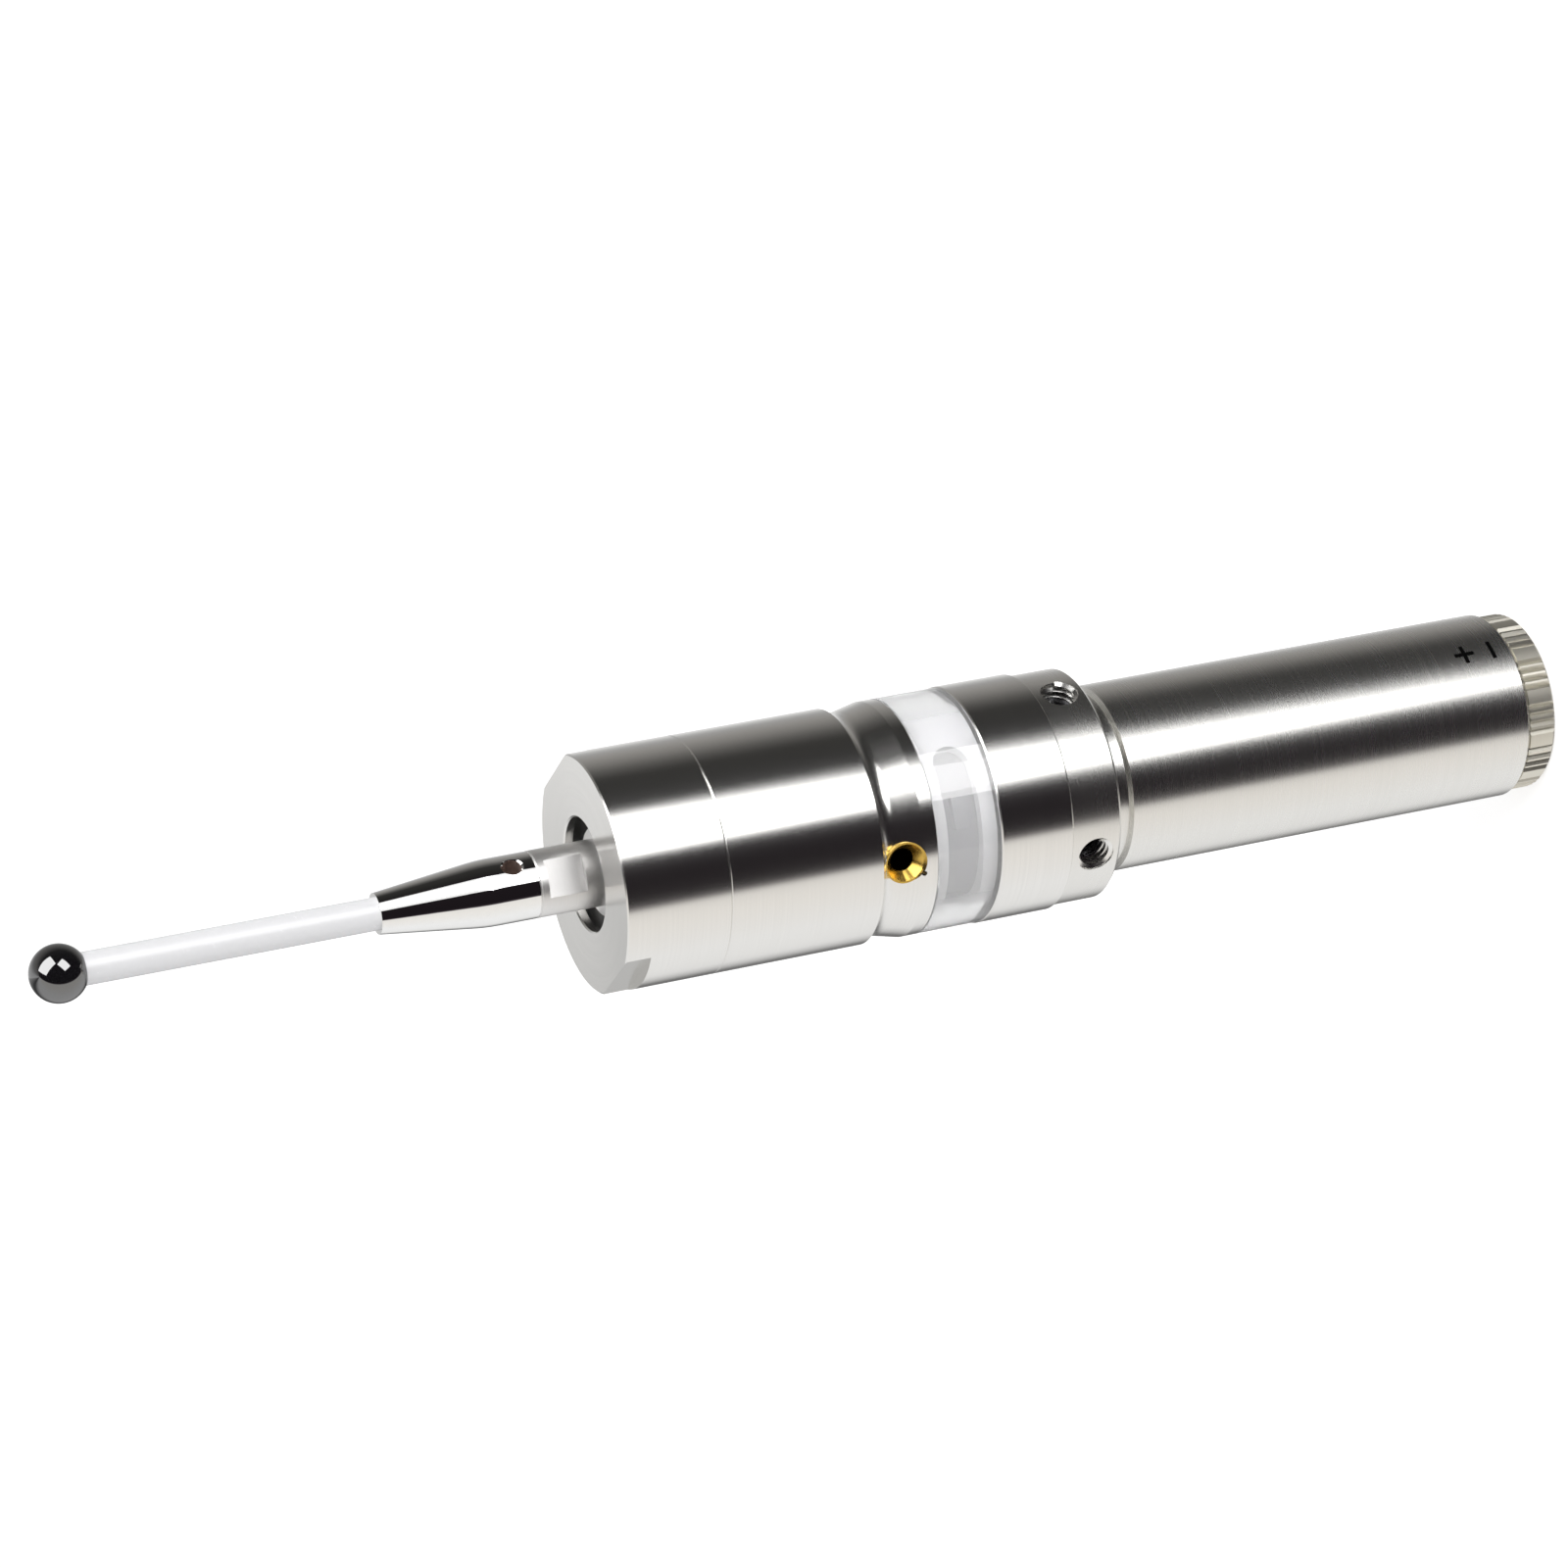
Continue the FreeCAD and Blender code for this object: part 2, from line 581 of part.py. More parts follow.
def jack_insulator():
    return jack_cylinder(JACK_R, JACK_CONTACT_REACH, JACK_SHOULDER_REACH).cut(jack_contact())


def jack_contact():
    return jack_cylinder(JACK_PIN_R, JACK_CONTACT_REACH, JACK_SHOULDER_REACH)


def spring_adjuster():
    ring = tube(ADJUSTER_R, ADJUSTER_HOLE_R, Z_ADJUSTER, Z_ADJUSTER_TOP)
    corner = FreeCAD.Vector(-ADJUSTER_R, -ADJUSTER_SLOT / 2, Z_ADJUSTER_TOP - ADJUSTER_SLOT_DEPTH)
    slot = Part.makeBox(2 * ADJUSTER_R, ADJUSTER_SLOT, ADJUSTER_SLOT_DEPTH, corner)
    spring_seat = cylinder(MAIN_SPRING_R + 2 * MAIN_SPRING_WIRE_R, Z_ADJUSTER, Z_ADJUSTER_TOP)
    return ring.cut(slot.cut(spring_seat))


# ---- front ring and kinematic seat --------------------------------------------------------------------
def front_ring():
    lip = Z_FRONT - FRONT_LIP
    seat_top = Z_SEAT_RING + SEAT_RING_LENGTH
    shape = turned([
        (FRONT_BORE_R, Z_SEAM - FRONT_SPIGOT_LENGTH),
        (FRONT_SPIGOT_R, Z_SEAM - FRONT_SPIGOT_LENGTH),
        (FRONT_SPIGOT_R, Z_SEAM),
        (BODY_R - JOINT_CHAMFER, Z_SEAM),
        (BODY_R, Z_SEAM + JOINT_CHAMFER),
        (BODY_R, Z_FRONT - FRONT_EDGE),
        (BODY_R - FRONT_EDGE, Z_FRONT),
        (FRONT_HOLE_R + FRONT_EDGE, Z_FRONT),
        (FRONT_HOLE_R, Z_FRONT - FRONT_EDGE),
        (FRONT_HOLE_R, lip),
        (FRONT_CAVITY_R, lip),
        (FRONT_CAVITY_R, seat_top),
        (FRONT_BORE_R, seat_top),
    ])
    flats_low = Z_FRONT - FRONT_FLATS_LENGTH
    flats = flats_cutter(FRONT_FLATS, FRONT_FLATS_AZIMUTH_DEG, 2 * BODY_R, flats_low, Z_FRONT + OVERCUT)
    return shape.cut(flats)


def seat_ball_places():
    places = []
    for azimuth in TRIPOD_AZIMUTHS_DEG:
        side_angle = math.degrees(math.atan2(SEAT_OFFSET, SEAT_RADIUS))
        radius = math.hypot(SEAT_OFFSET, SEAT_RADIUS)
        places.append(at(radius, azimuth - side_angle, Z_SEAT_BALL))
        places.append(at(radius, azimuth + side_angle, Z_SEAT_BALL))
    return places


def seat_ring():
    shape = tube(FRONT_BORE_R, SEAT_RING_BORE_R, Z_SEAT_RING, Z_SEAT_RING + SEAT_RING_LENGTH)
    for place in seat_ball_places():
        shape = shape.cut(Part.makeCylinder(SEAT_BALL_R, SEAT_BALL_R, place))
    return shape


def seat_balls():
    return Part.makeCompound([Part.makeSphere(SEAT_BALL_R, place) for place in seat_ball_places()])


def tripod_hub():
    shape = cylinder(HUB_FLANGE_R, Z_HUB, Z_HUB + HUB_FLANGE_THICKNESS)
    shape = shape.fuse(cylinder(HUB_R, Z_HUB, Z_HUB_TOP)).removeSplitter()
    shape = shape.cut(cylinder(HUB_POCKET_R, Z_HUB, Z_HUB + HUB_POCKET_DEPTH))
    shape = shape.cut(cylinder(MOUNT_SPIGOT_R, Z_HUB_TOP - MOUNT_SPIGOT_LENGTH, Z_HUB_TOP))
    for azimuth in TRIPOD_AZIMUTHS_DEG:
        shape = shape.cut(radial_cylinder(ROD_R, azimuth, Z_ROD, ROD_INNER_R, HUB_R + OVERCUT))
    return shape


def tripod_rod(azimuth_deg):
    shoulder = ROD_OUTER_R - ROD_CHAMFER
    rod = radial_cylinder(ROD_R, azimuth_deg, Z_ROD, ROD_INNER_R, shoulder)
    tip = radial_cone(ROD_R, ROD_R - ROD_CHAMFER, azimuth_deg, Z_ROD, shoulder, ROD_OUTER_R)
    return rod.fuse(tip).removeSplitter()


def main_spring():
    low = Z_ADJUSTER_TOP + TOUCH
    high = Z_HUB - TOUCH
    return coil(MAIN_SPRING_R, MAIN_SPRING_R, MAIN_SPRING_WIRE_R, MAIN_SPRING_TURNS, low, high)


def contact_spring():
    low = Z_PIN_TOP - PIN_NOSE + TOUCH
    high = Z_HUB + HUB_POCKET_DEPTH - TOUCH
    return coil(CONTACT_SPRING_R, CONTACT_SPRING_R, CONTACT_SPRING_WIRE_R, CONTACT_SPRING_TURNS, low, high)


def diaphragm():
    """A rubber seal between the stylus column and the front ring, with one vee fold."""
    low = Z_FRONT - DIAPHRAGM_DEPTH
    high = low + DIAPHRAGM_THICKNESS
    inner = COLUMN_R + TOUCH
    fold = (inner + FRONT_CAVITY_R) / 2
    return turned([
        (inner, low),
        (fold - DIAPHRAGM_FOLD, low),
        (fold, low - DIAPHRAGM_FOLD),
        (fold + DIAPHRAGM_FOLD, low),
        (FRONT_CAVITY_R, low),
        (FRONT_CAVITY_R, high),
        (fold + DIAPHRAGM_FOLD, high),
        (fold, high - DIAPHRAGM_FOLD),
        (fold - DIAPHRAGM_FOLD, high),
        (inner, high),
    ])


# ---- stylus -----------------------------------------------------------------------------------------
def stylus_mount():
    shape = turned([
        (0, Z_HUB_TOP - MOUNT_SPIGOT_LENGTH),
        (MOUNT_SPIGOT_R, Z_HUB_TOP - MOUNT_SPIGOT_LENGTH),
        (MOUNT_SPIGOT_R, Z_HUB_TOP),
        (COLUMN_R, Z_HUB_TOP),
        (COLUMN_R, Z_GUARD - GUARD_THICKNESS),
        (GUARD_R - JOINT_CHAMFER, Z_GUARD - GUARD_THICKNESS),
        (GUARD_R, Z_GUARD - GUARD_THICKNESS + JOINT_CHAMFER),
        (GUARD_R, Z_GUARD - JOINT_CHAMFER),
        (GUARD_R - JOINT_CHAMFER, Z_GUARD),
        (NECK_R, Z_GUARD),
        (NECK_R, Z_NECK - JOINT_CHAMFER),
        (NECK_R - JOINT_CHAMFER, Z_NECK),
        (0, Z_NECK),
    ])
    flats_low = Z_FRONT + NECK_FLATS_START
    flats_top = flats_low + NECK_FLATS_LENGTH
    flats = flats_cutter(NECK_FLATS, NECK_FLATS_AZIMUTH_DEG, 2 * NECK_R, flats_low, flats_top)
    socket = cylinder(STUD_R, Z_NECK - STUD_LENGTH - STUD_SLACK, Z_NECK)
    return shape.cut(flats).cut(socket)


def stylus_holder():
    """A cylinder that runs into a cone through a soft shoulder, with a tommy-bar hole across it."""
    shoulder = Z_NECK + HOLDER_CYLINDER_LENGTH
    slope = (NECK_R - HOLDER_TIP_R) / (Z_HOLDER - shoulder)
    blend_r = NECK_R - slope * HOLDER_BLEND / 2
    middle_r = NECK_R - slope * HOLDER_BLEND / 8
    shape = turned([
        (0, Z_NECK - STUD_LENGTH),
        (STUD_R, Z_NECK - STUD_LENGTH),
        (STUD_R, Z_NECK),
        (NECK_R - JOINT_CHAMFER, Z_NECK),
        (NECK_R, Z_NECK + JOINT_CHAMFER),
        (NECK_R, shoulder - HOLDER_BLEND / 2),
        ((middle_r, shoulder), (blend_r, shoulder + HOLDER_BLEND / 2)),
        (HOLDER_TIP_R, Z_HOLDER),
        (0, Z_HOLDER),
    ])
    shape = shape.cut(cylinder(STEM_R, Z_HOLDER - HOLDER_SOCKET_DEPTH, Z_HOLDER))
    z = Z_NECK + TOMMY_HEIGHT
    mouth_low = NECK_R - TOMMY_CHAMFER
    mouth_top = NECK_R + OVERCUT
    mouth_r = TOMMY_R + mouth_top - mouth_low
    shape = shape.cut(radial_cylinder(TOMMY_R, TOMMY_AZIMUTH_DEG, z, -mouth_top, mouth_top))
    for side in (0, 180):
        azimuth = TOMMY_AZIMUTH_DEG + side
        shape = shape.cut(radial_cone(TOMMY_R, mouth_r, azimuth, z, mouth_low, mouth_top))
    return shape


def ball_pin():
    """The stem's reduced end, which the ball is brazed on."""
    return cylinder(BALL_PIN_R, Z_BALL - BALL_R - OVERCUT, Z_BALL - BALL_R + BALL_PIN_LENGTH)


def stylus_ball():
    return Part.makeSphere(BALL_R, FreeCAD.Vector(0, 0, Z_BALL)).cut(ball_pin())


def stylus_stem():
    shoulder = Z_BALL - math.sqrt(BALL_R ** 2 - STEM_R ** 2)
    stem = cylinder(STEM_R, Z_HOLDER - HOLDER_SOCKET_DEPTH, shoulder)
    return stem.cut(stylus_ball()).fuse(ball_pin()).removeSplitter()


NODES = {
    "battery_cap": battery_cap,
    "cap_seal": cap_seal,
    "cap_spring": cap_spring,
    "shank": shank,
    "battery_sleeve": battery_sleeve,
    "battery_cell": battery_cell,
    "contact_plug": contact_plug,
    "plus_contact": plus_contact,
    "contact_block": contact_block,
    "contact_pin": contact_pin,
    "rear_head": rear_head,
    "light_ring": light_ring,
    "led_carrier": led_carrier,
    "led_board": led_board,
    "housing": housing,
    "jack_bush": jack_bush,
    "jack_insulator": jack_insulator,
    "jack_contact": jack_contact,
    "spring_adjuster": spring_adjuster,
    "front_ring": front_ring,
    "seat_ring": seat_ring,
    "seat_balls": seat_balls,
    "tripod_hub": tripod_hub,
    "main_spring": main_spring,
    "contact_spring": contact_spring,
    "diaphragm": diaphragm,
    "stylus_mount": stylus_mount,
    "stylus_holder": stylus_holder,
    "stylus_stem": stylus_stem,
    "stylus_ball": stylus_ball,
}


def build():
    shapes = {name: make() for name, make in NODES.items()}
    for number in range(SCREWS):
        shapes["adjusting_screw_%d" % (number + 1)] = adjusting_screw(number)
    for number in range(WINDOWS * LEDS_PER_WINDOW):
        shapes["led_%d" % (number + 1)] = led(number)
    for number, azimuth in enumerate(TRIPOD_AZIMUTHS_DEG):
        shapes["tripod_rod_%d" % (number + 1)] = tripod_rod(azimuth)
    return shapes


os.makedirs("parts", exist_ok=True)
for node, solid in build().items():
    solid.exportStep("parts/%s.step" % node)
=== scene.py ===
import json
import math

import bpy
from mathutils import Matrix, Vector

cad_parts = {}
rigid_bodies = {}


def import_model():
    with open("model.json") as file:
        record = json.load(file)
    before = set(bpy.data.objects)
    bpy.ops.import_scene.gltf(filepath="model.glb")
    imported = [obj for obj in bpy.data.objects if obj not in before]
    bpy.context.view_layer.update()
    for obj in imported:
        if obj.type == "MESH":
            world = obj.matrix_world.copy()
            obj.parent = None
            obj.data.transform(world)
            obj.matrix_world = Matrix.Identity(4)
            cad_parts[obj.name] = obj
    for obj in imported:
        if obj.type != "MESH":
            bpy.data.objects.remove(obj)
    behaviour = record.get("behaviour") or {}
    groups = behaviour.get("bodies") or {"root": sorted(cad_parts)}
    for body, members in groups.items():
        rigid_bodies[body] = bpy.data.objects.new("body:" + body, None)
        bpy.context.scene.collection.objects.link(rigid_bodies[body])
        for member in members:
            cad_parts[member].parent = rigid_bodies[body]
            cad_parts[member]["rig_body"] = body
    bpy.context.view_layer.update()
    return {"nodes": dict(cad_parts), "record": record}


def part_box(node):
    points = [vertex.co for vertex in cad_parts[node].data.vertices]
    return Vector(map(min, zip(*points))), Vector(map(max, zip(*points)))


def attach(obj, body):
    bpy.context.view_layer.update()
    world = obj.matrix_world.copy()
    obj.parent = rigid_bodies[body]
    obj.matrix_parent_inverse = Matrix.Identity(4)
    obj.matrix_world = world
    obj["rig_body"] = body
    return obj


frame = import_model()

MM = 0.001

# ---- colours, linear --------------------------------------------------------------------------------
STEEL = (0.88, 0.87, 0.845)
SHANK_STEEL = (0.86, 0.85, 0.82)
NICKEL = (0.80, 0.77, 0.68)
MIRROR_STEEL = (0.95, 0.95, 0.94)
STYLUS_STEEL = (0.86, 0.85, 0.84)
BLACK_CERAMIC = (0.006, 0.006, 0.007)
CERAMIC = (0.86, 0.86, 0.875)
CLEAR = (0.98, 0.975, 0.98)
CLEAR_CLOUDED = (0.93, 0.94, 0.94)
WHITE_PLASTIC = (0.87, 0.86, 0.88)
BOARD_GREY = (0.26, 0.25, 0.27)
LED_GREY = (0.27, 0.26, 0.28)
GOLD = (0.80, 0.53, 0.12)
# near-black gold: painted shade on the wall of the jack's deep bore
BORE_SHADE_GOLD = (0.035, 0.022, 0.006)
BORE_STEEL = (0.50, 0.40, 0.36)
BLACK_PLASTIC = (0.02, 0.02, 0.022)
BRASS = (0.80, 0.62, 0.32)
SPRING = (0.55, 0.55, 0.56)
HARD_STEEL = (0.72, 0.72, 0.73)
OXIDE = (0.10, 0.10, 0.11)
RUBBER = (0.018, 0.018, 0.02)
FOIL = (0.12, 0.15, 0.20)
INK = (0.002, 0.002, 0.002)
WHITE = (1.0, 1.0, 1.0)
FLOOR_WHITE = (0.85, 0.85, 0.85)

# ---- shader helpers -----------------------------------------------------------------------------------
# the part of its range that a noise texture mostly fills
NOISE_LOW = 0.3
NOISE_HIGH = 0.7
# sockets of the Mix node that carry colours
MIX_DARK = 6
MIX_LIGHT = 7
MIX_RESULT = 2


def new_material(name):
    material = bpy.data.materials.new(name)
    material.use_nodes = True
    tree = material.node_tree
    return material, tree, tree.nodes["Principled BSDF"]


def rgba(colour):
    return (*colour, 1.0)


def math_node(tree, operation, first, second=None):
    node = tree.nodes.new("ShaderNodeMath")
    node.operation = operation
    for slot, value in enumerate((first, second)):
        if value is None:
            continue
        if isinstance(value, (int, float)):
            node.inputs[slot].default_value = value
        else:
            tree.links.new(value, node.inputs[slot])
    return node.outputs[0]


def map_range(tree, value, low, high):
    """Spreads a noise value from the middle of its range over low to high."""
    node = tree.nodes.new("ShaderNodeMapRange")
    node.inputs["From Min"].default_value = NOISE_LOW
    node.inputs["From Max"].default_value = NOISE_HIGH
    node.inputs["To Min"].default_value = low
    node.inputs["To Max"].default_value = high
    tree.links.new(value, node.inputs["Value"])
    return node.outputs["Result"]


def noise(tree, coordinates, scale, detail=3.0):
    node = tree.nodes.new("ShaderNodeTexNoise")
    node.inputs["Scale"].default_value = scale
    node.inputs["Detail"].default_value = detail
    tree.links.new(coordinates, node.inputs["Vector"])
    return node.outputs["Fac"]


def object_coordinates(tree):
    return tree.nodes.new("ShaderNodeTexCoord").outputs["Object"]


def lathe_coordinates(tree):
    """(radius, 0, height): noise on these runs round the axis, as a lathe's marks do."""
    split = tree.nodes.new("ShaderNodeSeparateXYZ")
    tree.links.new(object_coordinates(tree), split.inputs[0])
    x_square = math_node(tree, "POWER", split.outputs["X"], 2.0)
    y_square = math_node(tree, "POWER", split.outputs["Y"], 2.0)
    radius = math_node(tree, "SQRT", math_node(tree, "ADD", x_square, y_square))
    join = tree.nodes.new("ShaderNodeCombineXYZ")
    tree.links.new(radius, join.inputs["X"])
    tree.links.new(split.outputs["Z"], join.inputs["Z"])
    return join.outputs[0]


def shade_between(tree, factor, dark, light):
    mix = tree.nodes.new("ShaderNodeMix")
    mix.data_type = "RGBA"
    tree.links.new(factor, mix.inputs["Factor"])
    mix.inputs[MIX_DARK].default_value = rgba(dark)
    mix.inputs[MIX_LIGHT].default_value = rgba(light)
    return mix.outputs[MIX_RESULT]


def mottle(tree, shader, cloud, colour, contrast, roughness, spread):
    """Lets the colour and the roughness vary a little with a noise value."""
    dark = tuple(channel * (1.0 - contrast) for channel in colour)
    shade = shade_between(tree, map_range(tree, cloud, 0.0, 1.0), dark, colour)
    tree.links.new(shade, shader.inputs["Base Color"])
    rough = map_range(tree, cloud, roughness * (1.0 - spread), roughness * (1.0 + spread))
    tree.links.new(rough, shader.inputs["Roughness"])


# ---- materials ----------------------------------------------------------------------------------------
def turned_metal(name, colour, roughness, anisotropy=0.6, contrast=0.04, line=0.16 * MM):
    """Metal with fine lathe lines: the gloss is blurred across the lines and sharp along them."""
    material, tree, shader = new_material(name)
    shader.inputs["Metallic"].default_value = 1.0
    shader.inputs["Anisotropic"].default_value = anisotropy
    shader.inputs["Anisotropic Rotation"].default_value = 0.25
    tangent = tree.nodes.new("ShaderNodeTangent")
    tangent.direction_type = "RADIAL"
    tangent.axis = "Z"
    tree.links.new(tangent.outputs[0], shader.inputs["Tangent"])
    marks = noise(tree, lathe_coordinates(tree), 1.0 / line)
    mottle(tree, shader, marks, colour, contrast, roughness, spread=0.03)
    return material


def plain_metal(name, colour, roughness, grain=0.6 * MM, contrast=0.05):
    """Metal with the same gloss in every direction and a faint unevenness."""
    material, tree, shader = new_material(name)
    shader.inputs["Metallic"].default_value = 1.0
    cloud = noise(tree, object_coordinates(tree), 1.0 / grain)
    mottle(tree, shader, cloud, colour, contrast, roughness, spread=0.15)
    return material


def solid_material(name, colour, roughness, grain=0.5 * MM, contrast=0.06, coat=0.0, ior=1.5):
    """Plastic, rubber, ceramic or ink with a faint grain."""
    material, tree, shader = new_material(name)
    shader.inputs["Coat Weight"].default_value = coat
    shader.inputs["IOR"].default_value = ior
    cloud = noise(tree, object_coordinates(tree), 1.0 / grain)
    mottle(tree, shader, cloud, colour, contrast, roughness, spread=0.10)
    return material


def clear_plastic(name):
    """The light ring: a clear moulding that is a little milky."""
    material, tree, shader = new_material(name)
    shader.inputs["Transmission Weight"].default_value = 0.75
    shader.inputs["IOR"].default_value = 1.49
    cloud = noise(tree, object_coordinates(tree), 1.0 / (2.0 * MM))
    tree.links.new(shade_between(tree, cloud, CLEAR_CLOUDED, CLEAR), shader.inputs["Base Color"])
    tree.links.new(map_range(tree, cloud, 0.01, 0.03), shader.inputs["Roughness"])
    return material


# name: (maker, colour, roughness, options)
FINISHES = {
    "body_steel": (turned_metal, STEEL, 0.22, {}),
    "shank_steel": (turned_metal, SHANK_STEEL, 0.27, {"line": 0.22 * MM}),
    "cap_metal": (turned_metal, NICKEL, 0.40, {"anisotropy": 0.0}),
    "mirror_steel": (plain_metal, MIRROR_STEEL, 0.035, {"contrast": 0.02}),
    "stylus_steel": (turned_metal, STYLUS_STEEL, 0.42, {"anisotropy": 0.0}),
    "black_ceramic": (solid_material, BLACK_CERAMIC, 0.02, {"contrast": 0.02, "ior": 2.7}),
    "white_ceramic": (solid_material, CERAMIC, 0.25, {"contrast": 0.02}),
    "white_plastic": (solid_material, WHITE_PLASTIC, 0.5, {}),
    "board": (solid_material, BOARD_GREY, 0.45, {}),
    "led": (solid_material, LED_GREY, 0.3, {"contrast": 0.02}),
    "gold": (plain_metal, GOLD, 0.26, {}),
    # painted shade: the jack's bore wall drawn near-black
    "bore_shade_gold": (plain_metal, BORE_SHADE_GOLD, 0.4, {}),
    "bore_steel": (plain_metal, BORE_STEEL, 0.6, {}),
    "insulator": (solid_material, BLACK_PLASTIC, 0.45, {}),
    "contact_brass": (turned_metal, BRASS, 0.28, {}),
    "spring_steel": (plain_metal, SPRING, 0.3, {}),
    "hard_steel": (plain_metal, HARD_STEEL, 0.12, {}),
    "black_oxide": (plain_metal, OXIDE, 0.35, {}),
    "seal_rubber": (solid_material, RUBBER, 0.6, {}),
    "cell_foil": (solid_material, FOIL, 0.3, {"coat": 0.3}),
    "ink": (solid_material, INK, 0.8, {"contrast": 0.02, "ior": 1.1}),
}
MATERIALS = {"clear_ring": clear_plastic("clear_plastic")}
for finish, (make, colour, roughness, options) in FINISHES.items():
    MATERIALS[finish] = make(finish, colour, roughness, **options)

# a name that ends in _ stands for all its numbered nodes
NODE_MATERIALS = {
    "battery_cap": "cap_metal",
    "cap_seal": "seal_rubber",
    "cap_spring": "spring_steel",
    "shank": "shank_steel",
    "battery_sleeve": "insulator",
    "battery_cell": "cell_foil",
    "contact_plug": "insulator",
    "plus_contact": "contact_brass",
    "contact_block": "insulator",
    "contact_pin": "contact_brass",
    "rear_head": "body_steel",
    "light_ring": "clear_ring",
    "led_carrier": "white_plastic",
    "led_board": "board",
    "led_": "led",
    "housing": "body_steel",
    "jack_bush": "gold",
    "jack_insulator": "insulator",
    "jack_contact": "gold",
    "spring_adjuster": "contact_brass",
    "front_ring": "body_steel",
    "seat_ring": "insulator",
    "seat_balls": "hard_steel",
    "tripod_hub": "insulator",
    "tripod_rod_": "hard_steel",
    "main_spring": "spring_steel",
    "contact_spring": "spring_steel",
    "diaphragm": "seal_rubber",
    "stylus_mount": "stylus_steel",
    "stylus_holder": "mirror_steel",
    "stylus_stem": "white_ceramic",
    "stylus_ball": "black_ceramic",
    "adjusting_screw_": "black_oxide",
}

for name in sorted(frame["nodes"]):
    family = name.rstrip("0123456789")
    mesh = frame["nodes"][name].data
    mesh.materials.clear()
    mesh.materials.append(MATERIALS[NODE_MATERIALS[family]])

# ---- painted shade in the jack's bore, and a rough brownish grey in the tommy hole --------------------
BORE_MARGIN = 0.01 * MM
JACK_BORE_R = 1.25 * MM
TOMMY_R = 1.0 * MM
TOMMY_RISE = 6.95 * MM
TOMMY_AZIMUTH = math.radians(309)


def radial(azimuth):
    return Vector((math.cos(azimuth), math.sin(azimuth), 0))


def azimuth_of(point):
    return math.atan2(point.y, point.x)


def recolour_bore_wall(node, point, direction, radius, material):
    """Gives the wall of a drilled hole its own colour and gloss: every face that lies wholly within the
    radius.
    """
    mesh = frame["nodes"][node].data
    mesh.materials.append(MATERIALS[material])
    slot = len(mesh.materials) - 1
    within = radius + BORE_MARGIN
    for face in mesh.polygons:
        corners = [mesh.vertices[index].co - point for index in face.vertices]
        if all((corner - direction * corner.dot(direction)).length < within for corner in corners):
            face.material_index = slot


jack_low, jack_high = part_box("jack_bush")
jack_middle = (jack_low + jack_high) / 2
# painted shade: the jack's bore wall is coloured near-black gold, where little light reaches
recolour_bore_wall("jack_bush", jack_middle, radial(azimuth_of(jack_middle)), JACK_BORE_R, "bore_shade_gold")
tommy_point = Vector((0, 0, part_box("stylus_holder")[0].z + TOMMY_RISE))
# the tommy hole's wall gets a rougher, brownish-grey metal
recolour_bore_wall("stylus_holder", tommy_point, radial(TOMMY_AZIMUTH), TOMMY_R, "bore_steel")

# ---- pieces that scene.py adds ------------------------------------------------------------------------
shank_body = frame["nodes"]["shank"]["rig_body"]
shank_low, shank_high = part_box("shank")


def add_piece(name, points, faces, material):
    """A new mesh object that rides the shank's body."""
    mesh = bpy.data.meshes.new(name)
    mesh.from_pydata(points, [], faces)
    mesh.update()
    mesh.materials.append(MATERIALS[material])
    piece = bpy.data.objects.new(name, mesh)
    bpy.context.scene.collection.objects.link(piece)
    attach(piece, shank_body)
    return piece


# polarity signs printed on the shank beside the cap: a plus, and a minus nearer to the cap
MARK_AZIMUTH = math.radians(305.7)
PLUS_RISE = 5.9 * MM
MINUS_RISE = 2.6 * MM
MARK_LENGTH = 2.3 * MM
MARK_STROKE = 0.46 * MM
MARK_STEPS = 10
INK_LIFT = 0.012 * MM
shank_mount = next(mount for mount in frame["record"]["mounts"] if mount["name"] == "shank")
ink_radius = shank_mount["dims"]["r_mm"] * MM + INK_LIFT


def printed_bar(name, rise, length, height):
    """A thin curved patch on the shank, length round it and height along it."""
    points = []
    for up in (-height / 2, height / 2):
        for step in range(MARK_STEPS + 1):
            across = (step / MARK_STEPS - 0.5) * length
            angle = MARK_AZIMUTH + across / ink_radius
            x = ink_radius * math.cos(angle)
            y = ink_radius * math.sin(angle)
            points.append((x, y, shank_low.z + rise + up))
    row = MARK_STEPS + 1
    faces = [(i, i + 1, i + 1 + row, i + row) for i in range(MARK_STEPS)]
    add_piece(name, points, faces, "ink")


arm = (MARK_LENGTH - MARK_STROKE) / 2
arm_offset = (MARK_STROKE + arm) / 2
printed_bar("minus_sign", MINUS_RISE, MARK_LENGTH, MARK_STROKE)
printed_bar("plus_sign_across", PLUS_RISE, MARK_LENGTH, MARK_STROKE)
printed_bar("plus_sign_low", PLUS_RISE - arm_offset, MARK_STROKE, arm)
printed_bar("plus_sign_high", PLUS_RISE + arm_offset, MARK_STROKE, arm)

# internal thread of the four adjusting screw holes, from each screw's outer end to the flange's surface
THREAD_PITCH = 0.7 * MM
THREAD_DEPTH = 0.38 * MM
THREAD_ROOT = 0.04 * MM
THREAD_INSET = 0.3 * MM
THREAD_STEPS = 36
SCREW_CLEARANCE = 0.05 * MM
# the ridge's section: (along the hole, inward from its wall)
RIDGE = (
    (-0.40 * THREAD_PITCH, -THREAD_ROOT),
    (-0.07 * THREAD_PITCH, THREAD_DEPTH),
    (0.07 * THREAD_PITCH, THREAD_DEPTH),
    (0.40 * THREAD_PITCH, -THREAD_ROOT),
)


